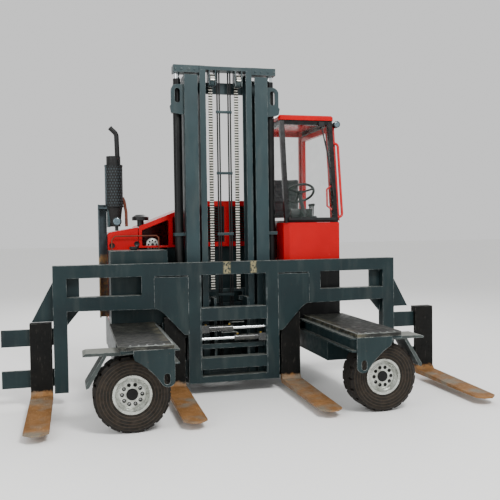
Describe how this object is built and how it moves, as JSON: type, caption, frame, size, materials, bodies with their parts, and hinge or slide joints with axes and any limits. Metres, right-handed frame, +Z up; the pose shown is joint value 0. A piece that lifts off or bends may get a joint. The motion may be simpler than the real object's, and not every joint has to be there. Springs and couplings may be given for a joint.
{
  "type": "multidirectional forklift",
  "caption": "Four-way reach forklift: forward arms with steered wheels, mast that reaches between them, wide fork frame with slung forks, raised cab and engine hood.",
  "frame": {"origin": "on the ground, under the middle of the bounding box", "axes": "+X across the machine to the cab side, -Y to the fork end, +Z up"},
  "size_m": [4.2, 2.6, 3.137],
  "materials": {
    "slate_paint": "worn satin",
    "mast_paint": "satin",
    "red_paint": "gloss",
    "black_paint": "satin",
    "deck_steel": "worn",
    "tyre_rubber": "dusty matt",
    "rim_paint": "satin",
    "rod_chrome": "polished",
    "chain_steel": "greased",
    "fork_steel": "rusted, dark at the shank",
    "engine_iron": "matt",
    "exhaust_steel": "sooty",
    "cab_glazing": "clear",
    "seat_fabric": "woven",
    "black_plastic": "matt"
  },
  "bodies": {
    "chassis": {"left_arm": "slate_paint", "right_arm": "slate_paint", "left_deck": "deck_steel", "right_deck": "deck_steel", "rear_frame": "slate_paint", "counterweight": "slate_paint", "hydraulic_tank": "slate_paint", "engine_block": "engine_iron", "side_bodywork": "red_paint", "exhaust_stack": "exhaust_steel", "cab_base": "black_paint", "cab_panels": "red_paint", "cab_frame": "black_paint", "cab_roof": "red_paint", "cab_glass": "cab_glazing", "driver_seat": "seat_fabric", "steering_column": "black_plastic", "lamps": "black_plastic"},
    "hood": {"engine_hood": "red_paint", "engine_grille": "black_paint", "intake_cap": "black_plastic"},
    "door": {"cab_door": "red_paint", "door_glass": "cab_glazing"},
    "hand_wheel": {"steering_wheel": "black_plastic"},
    "left_steer": {"left_yoke": "slate_paint"},
    "left_wheel": {"left_front_rim": "rim_paint", "left_front_tyre": "tyre_rubber"},
    "right_steer": {"right_yoke": "slate_paint"},
    "right_wheel": {"right_front_rim": "rim_paint", "right_front_tyre": "tyre_rubber"},
    "rear_steer": {"rear_yoke": "slate_paint"},
    "rear_wheel": {"rear_rim": "rim_paint", "rear_tyre": "tyre_rubber"},
    "mast": {"reach_carriage": "slate_paint", "outer_mast": "mast_paint", "lift_cylinders": "black_paint"},
    "lifting_mast": {"inner_mast": "mast_paint", "lift_rods": "rod_chrome", "lift_chains": "chain_steel"},
    "fork_carriage": {"fork_frame": "slate_paint", "positioner_cylinders": "black_paint", "left_inner_fork": "fork_steel", "right_inner_fork": "fork_steel"},
    "left_fork": {"left_outer_fork": "fork_steel"},
    "right_fork": {"right_outer_fork": "fork_steel"}
  },
  "joints": [
    {"name": "left_kingpin", "type": "hinge", "parent": "chassis", "child": "left_steer", "pos_m": [-1.048, -1.035, 0.64], "axis": [0, 0, -1], "range_deg": [0, 90]},
    {"name": "right_kingpin", "type": "hinge", "parent": "chassis", "child": "right_steer", "pos_m": [1.048, -1.035, 0.64], "axis": [0, 0, 1], "range_deg": [0, 90]},
    {"name": "rear_kingpin", "type": "hinge", "parent": "chassis", "child": "rear_steer", "pos_m": [0, 0.82, 0.64], "axis": [0, 0, 1], "range_deg": [-120, 120]},
    {"name": "left_wheel_spin", "type": "hinge", "parent": "left_steer", "child": "left_wheel", "pos_m": [-1.048, -1.035, 0.2975], "axis": [0, 1, 0], "continuous": true},
    {"name": "right_wheel_spin", "type": "hinge", "parent": "right_steer", "child": "right_wheel", "pos_m": [1.048, -1.035, 0.2975], "axis": [0, 1, 0], "continuous": true},
    {"name": "rear_wheel_spin", "type": "hinge", "parent": "rear_steer", "child": "rear_wheel", "pos_m": [0, 0.82, 0.2975], "axis": [0, 1, 0], "continuous": true},
    {"name": "mast_reach", "type": "slide", "parent": "chassis", "child": "mast", "axis": [0, -1, 0], "range_m": [0, 1.18]},
    {"name": "mast_lift", "type": "slide", "parent": "mast", "child": "lifting_mast", "axis": [0, 0, 1], "range_m": [0, 1.95]},
    {"name": "fork_lift", "type": "slide", "parent": "lifting_mast", "child": "fork_carriage", "axis": [0, 0, 1], "range_m": [0, 1.95]},
    {"name": "left_fork_slide", "type": "slide", "parent": "fork_carriage", "child": "left_fork", "axis": [-1, 0, 0], "range_m": [0, 0.24]},
    {"name": "right_fork_slide", "type": "slide", "parent": "fork_carriage", "child": "right_fork", "axis": [-1, 0, 0], "range_m": [0, 0.24]},
    {"name": "hood_hinge", "type": "hinge", "parent": "chassis", "child": "hood", "pos_m": [0, 1.292, 1.392], "axis": [-1, 0, 0], "range_deg": [0, 55]},
    {"name": "door_hinge", "type": "hinge", "parent": "chassis", "child": "door", "pos_m": [1.143, 1.1, 1.6], "axis": [0, 0, 1], "range_deg": [0, 85]},
    {"name": "steering_wheel_turn", "type": "hinge", "parent": "chassis", "child": "hand_wheel", "pos_m": [0.835, 0.4, 1.925], "axis": [0, 0.5592, 0.829], "range_deg": [-540, 540]}
  ],
  "couplings": [
    {"joint": "fork_lift", "follows": "mast_lift", "ratio": 1}
  ]
}
